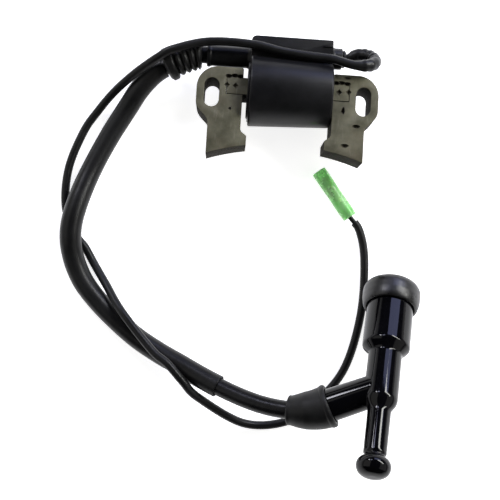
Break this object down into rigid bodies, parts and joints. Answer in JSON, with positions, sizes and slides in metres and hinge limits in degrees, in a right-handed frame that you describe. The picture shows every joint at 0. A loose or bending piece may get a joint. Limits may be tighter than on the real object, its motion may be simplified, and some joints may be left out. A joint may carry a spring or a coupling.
{
  "type": "ignition coil",
  "caption": "Engine ignition coil: laminated steel legs with slotted ears, black potted housing, ribbed grommet, sleeved plug lead with angled cap, and stop-switch lead.",
  "frame": {"origin": "midway between the two bolt slots, on the plane that the coil lies on", "axes": "+X along the core's crossbar towards the stop-switch lead's outlet, +Y away from the flywheel, +Z towards the front of the core"},
  "size_m": [0.1669, 0.1884, 0.0598],
  "materials": {
    "core_steel": "laminated silicon steel, satin, oiled grey",
    "housing_resin": "satin black glass-filled resin",
    "bobbin_nylon": "natural nylon",
    "copper_wire": "enamelled copper wire",
    "lacquered_wire": "fine enamelled copper wire under lacquer",
    "potting_resin": "black epoxy",
    "board_laminate": "green glass-epoxy laminate",
    "chip_plastic": "moulded package",
    "brass_fittings": "drawn brass",
    "terminal_steel": "spring steel",
    "moulded_rubber": "matte black moulded rubber",
    "lead_jacket": "satin black extruded jacket",
    "lead_sheath": "satin black vinyl sleeving",
    "wire_jacket": "black vinyl wire insulation",
    "green_vinyl": "translucent green vinyl",
    "cap_phenolic": "glossy black phenolic",
    "resistor_ceramic": "white ceramic"
  },
  "bodies": {
    "root": {"core_leg_left": "core_steel", "core_leg_right": "core_steel", "core_crossbar": "core_steel", "primary_bobbin": "bobbin_nylon", "secondary_bobbin": "bobbin_nylon", "primary_winding": "copper_wire", "secondary_winding": "lacquered_wire", "housing": "housing_resin", "potting_compound": "potting_resin", "igniter_board": "board_laminate", "power_transistor": "chip_plastic", "control_chip": "chip_plastic", "primary_solder_pin": "brass_fittings", "core_ground_strip": "brass_fittings", "ht_terminal_pin": "brass_fittings", "ht_grommet": "moulded_rubber", "ht_lead": "lead_jacket", "ht_sheath": "lead_sheath", "cap_lead_boot": "moulded_rubber", "primary_wire": "wire_jacket", "primary_sleeve": "lead_sheath", "primary_outlet_grommet": "moulded_rubber", "bullet_terminal": "brass_fittings"},
    "cap": {"cap_body": "cap_phenolic", "cap_plug_boot": "moulded_rubber", "cap_plug_terminal": "terminal_steel", "cap_resistor": "resistor_ceramic", "cap_spring": "terminal_steel", "cap_lead_screw": "brass_fittings"},
    "connector_sleeve": {"bullet_sleeve": "green_vinyl"}
  },
  "joints": [
    {"name": "cap_swivel", "type": "hinge", "parent": "root", "child": "cap", "pos_m": [0.04596, -0.12517, 0.0356], "axis": [0.8988, 0.388, 0.2043], "range_deg": [0, 60]},
    {"name": "connector_sleeve_slide", "type": "slide", "parent": "root", "child": "connector_sleeve", "axis": [0.6086, -0.7935, 0], "range_m": [0, 0.006]}
  ]
}
